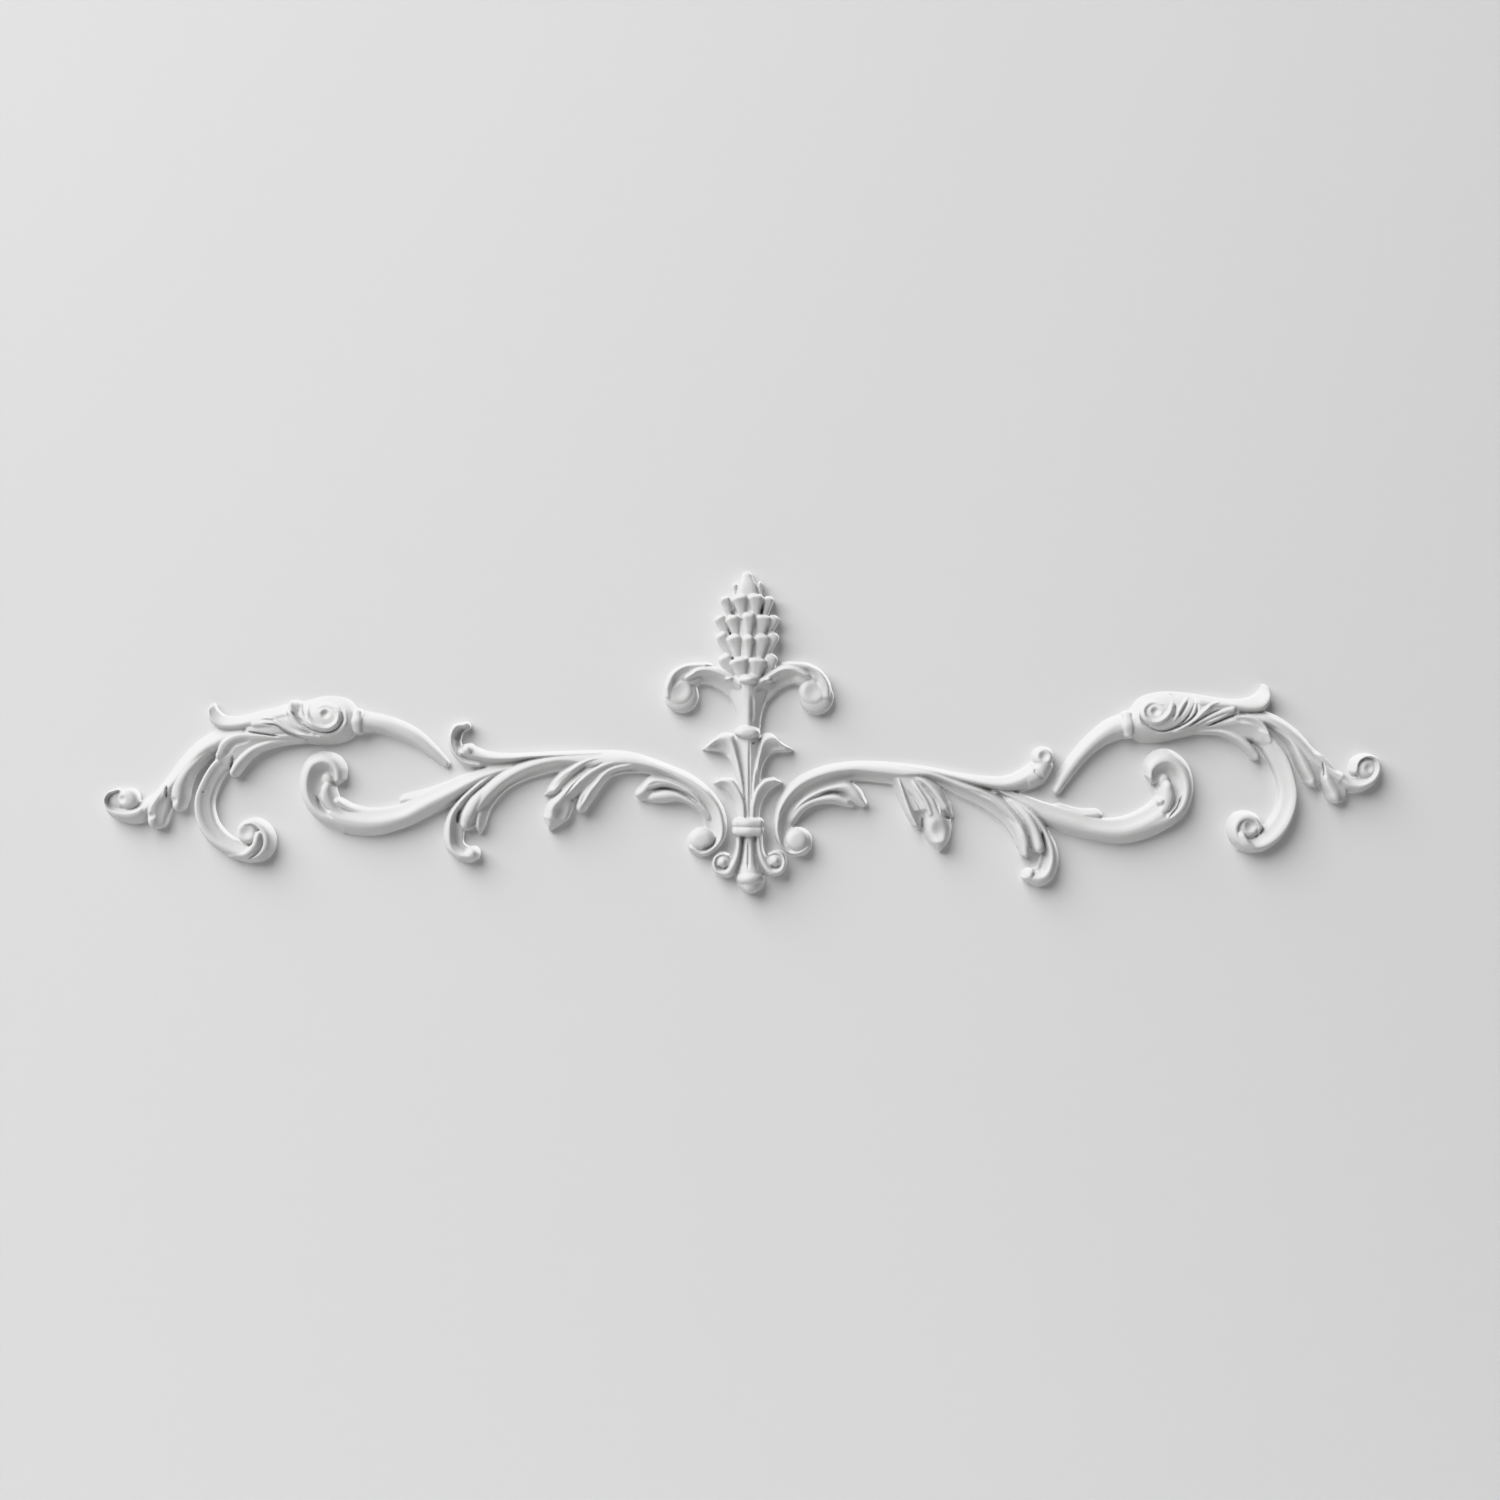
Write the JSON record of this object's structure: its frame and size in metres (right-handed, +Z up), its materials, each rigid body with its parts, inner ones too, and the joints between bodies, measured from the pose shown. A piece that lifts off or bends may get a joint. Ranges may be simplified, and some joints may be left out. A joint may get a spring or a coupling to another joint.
{
  "type": "scrollwork applique",
  "caption": "Cast plaster scrollwork ornament for a wall: a pine-cone finial with leafy scrolls and horned side scrolls to either side.",
  "frame": {"origin": "on the wall face, behind the middle of the tie of the centre piece", "axes": "+X to the ornament's right as seen from the room, +Z up the wall, +Y into the wall"},
  "size_m": [0.9603, 0.021, 0.2442],
  "materials": {
    "plaster": "smooth matt white casting plaster"
  },
  "bodies": {
    "root": {"centre_finial": "plaster", "left_inner_scroll": "plaster", "right_inner_scroll": "plaster", "left_outer_scroll": "plaster", "right_outer_scroll": "plaster"}
  },
  "joints": []
}
